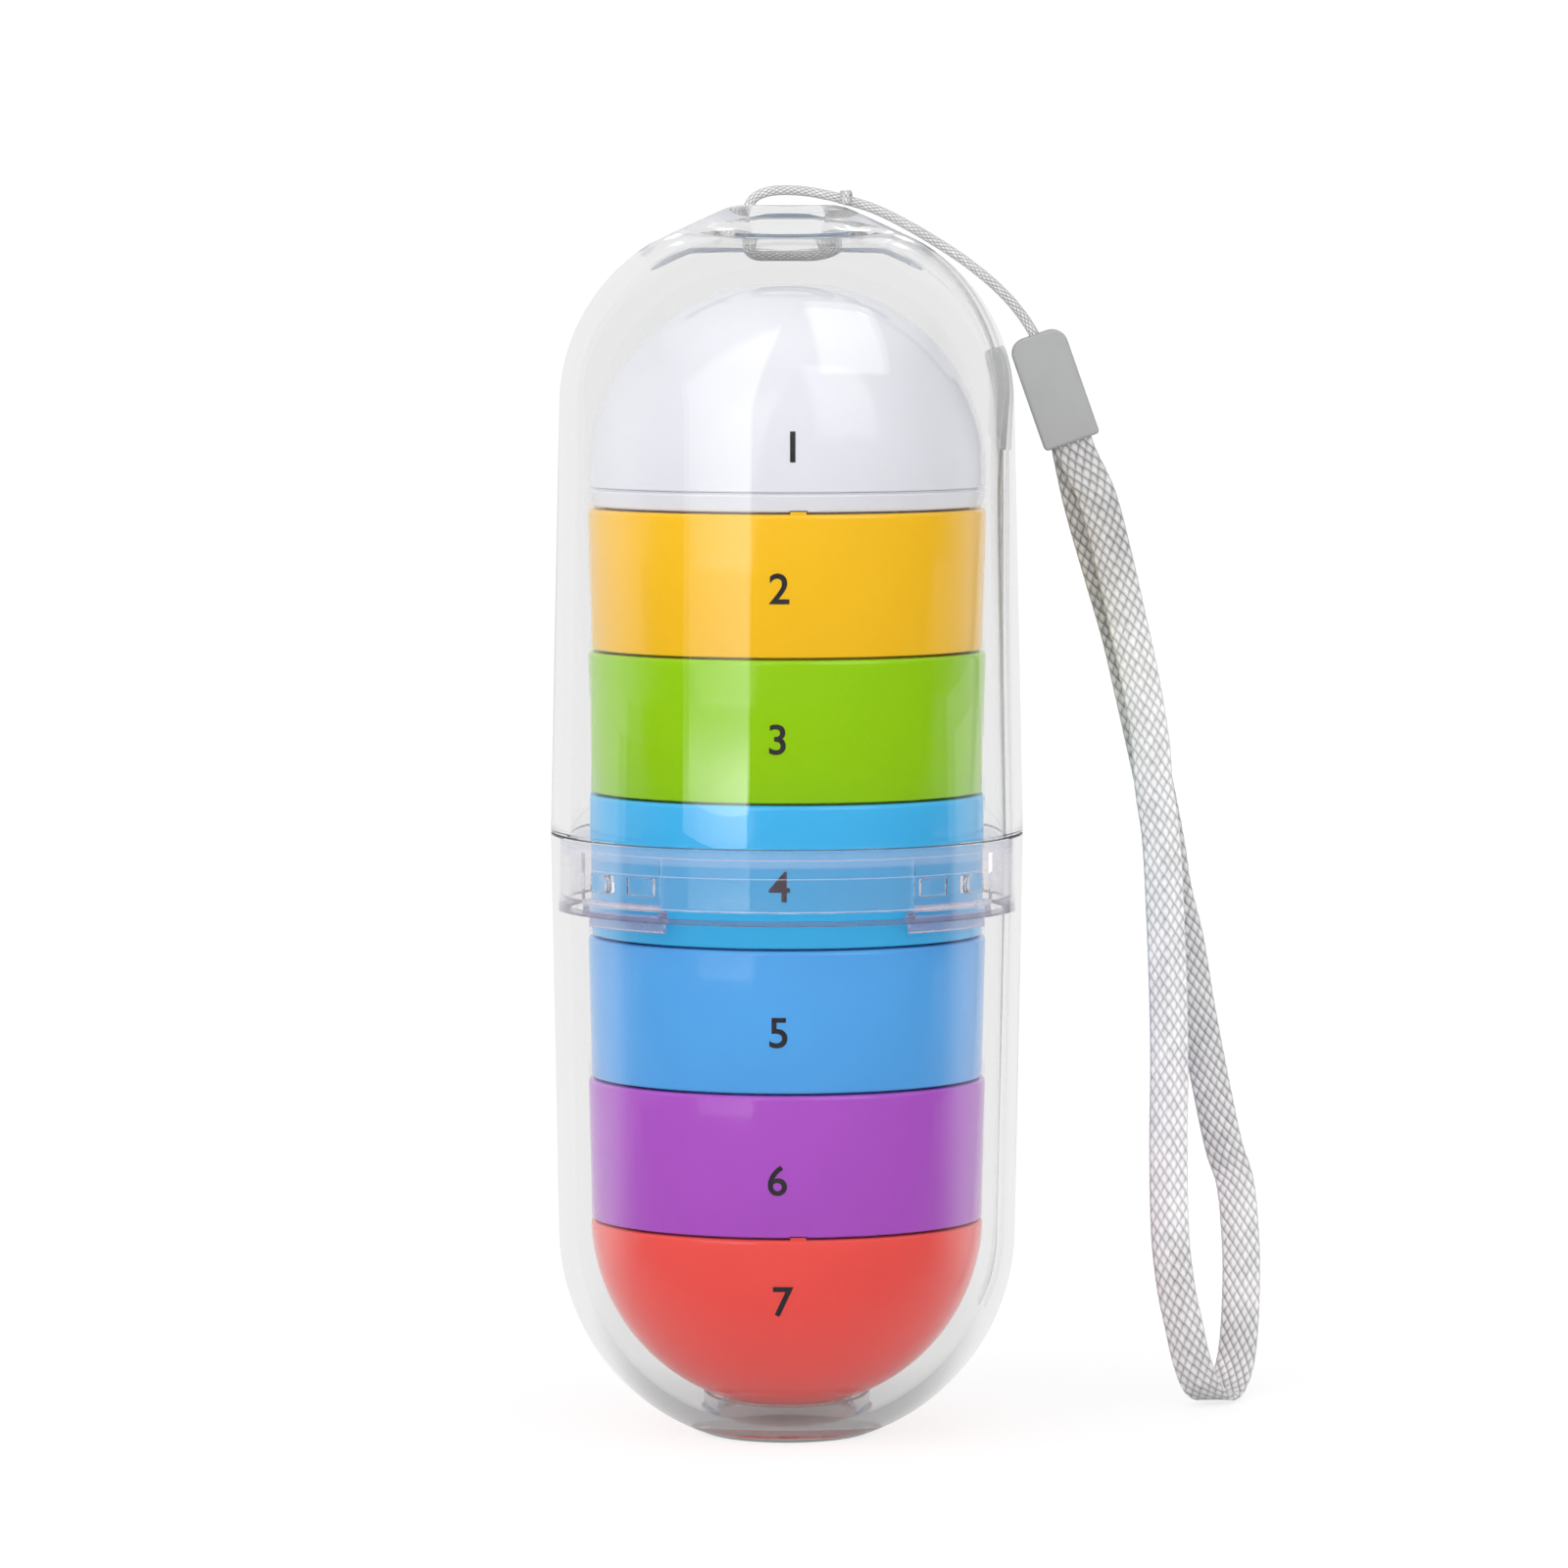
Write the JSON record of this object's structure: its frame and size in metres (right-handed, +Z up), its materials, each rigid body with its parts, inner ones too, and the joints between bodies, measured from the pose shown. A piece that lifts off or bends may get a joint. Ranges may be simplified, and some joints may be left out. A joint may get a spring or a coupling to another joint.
{
  "type": "pill organizer",
  "caption": "Stack of round coloured pill boxes in a clear capsule-shaped case that pulls apart, with a braided wrist strap on the cap.",
  "frame": {"origin": "middle of the case's flat foot, on the surface it stands on", "axes": "+Z up along the case's axis, the boxes' labels face -Y, the strap hangs at +X"},
  "size_m": [0.0799, 0.052, 0.1379],
  "materials": {
    "clear_plastic": "clear gloss",
    "white_plastic": "semi-gloss",
    "yellow_plastic": "semi-gloss",
    "green_plastic": "semi-gloss",
    "sky_blue_plastic": "semi-gloss",
    "blue_plastic": "semi-gloss",
    "purple_plastic": "semi-gloss",
    "red_plastic": "semi-gloss",
    "braided_cord": "braided matte",
    "grey_plastic": "satin",
    "print_ink": "printed"
  },
  "bodies": {
    "case_base": {"case_base": "clear_plastic"},
    "box_red": {"box_red": "red_plastic"},
    "box_purple": {"box_purple": "purple_plastic"},
    "box_blue": {"box_blue": "blue_plastic"},
    "box_sky_blue": {"box_sky_blue": "sky_blue_plastic"},
    "box_green": {"box_green": "green_plastic"},
    "box_yellow": {"box_yellow": "yellow_plastic"},
    "top_tray": {"top_tray": "white_plastic"},
    "dome_lid": {"dome_lid": "white_plastic"},
    "case_cap": {"case_cap": "clear_plastic", "strap_strand_front": "braided_cord", "strap_strand_back": "braided_cord", "strap_hitch": "braided_cord", "strap_clamp": "grey_plastic", "strap_band": "braided_cord"}
  },
  "joints": [
    {"name": "stack_lift", "type": "slide", "parent": "case_base", "child": "box_red", "axis": [0, 0, 1], "range_m": [0, 0.07]},
    {"name": "purple_lift", "type": "slide", "parent": "box_red", "child": "box_purple", "axis": [0, 0, 1], "range_m": [0, 0.02]},
    {"name": "blue_lift", "type": "slide", "parent": "box_purple", "child": "box_blue", "axis": [0, 0, 1], "range_m": [0, 0.02]},
    {"name": "sky_blue_lift", "type": "slide", "parent": "box_blue", "child": "box_sky_blue", "axis": [0, 0, 1], "range_m": [0, 0.02]},
    {"name": "green_lift", "type": "slide", "parent": "box_sky_blue", "child": "box_green", "axis": [0, 0, 1], "range_m": [0, 0.02]},
    {"name": "yellow_lift", "type": "slide", "parent": "box_green", "child": "box_yellow", "axis": [0, 0, 1], "range_m": [0, 0.02]},
    {"name": "tray_lift", "type": "slide", "parent": "box_yellow", "child": "top_tray", "axis": [0, 0, 1], "range_m": [0, 0.02]},
    {"name": "dome_lift", "type": "slide", "parent": "top_tray", "child": "dome_lid", "axis": [0, 0, 1], "range_m": [0, 0.02]},
    {"name": "cap_pull", "type": "slide", "parent": "dome_lid", "child": "case_cap", "axis": [0, 0, 1], "range_m": [0, 0.08]}
  ]
}
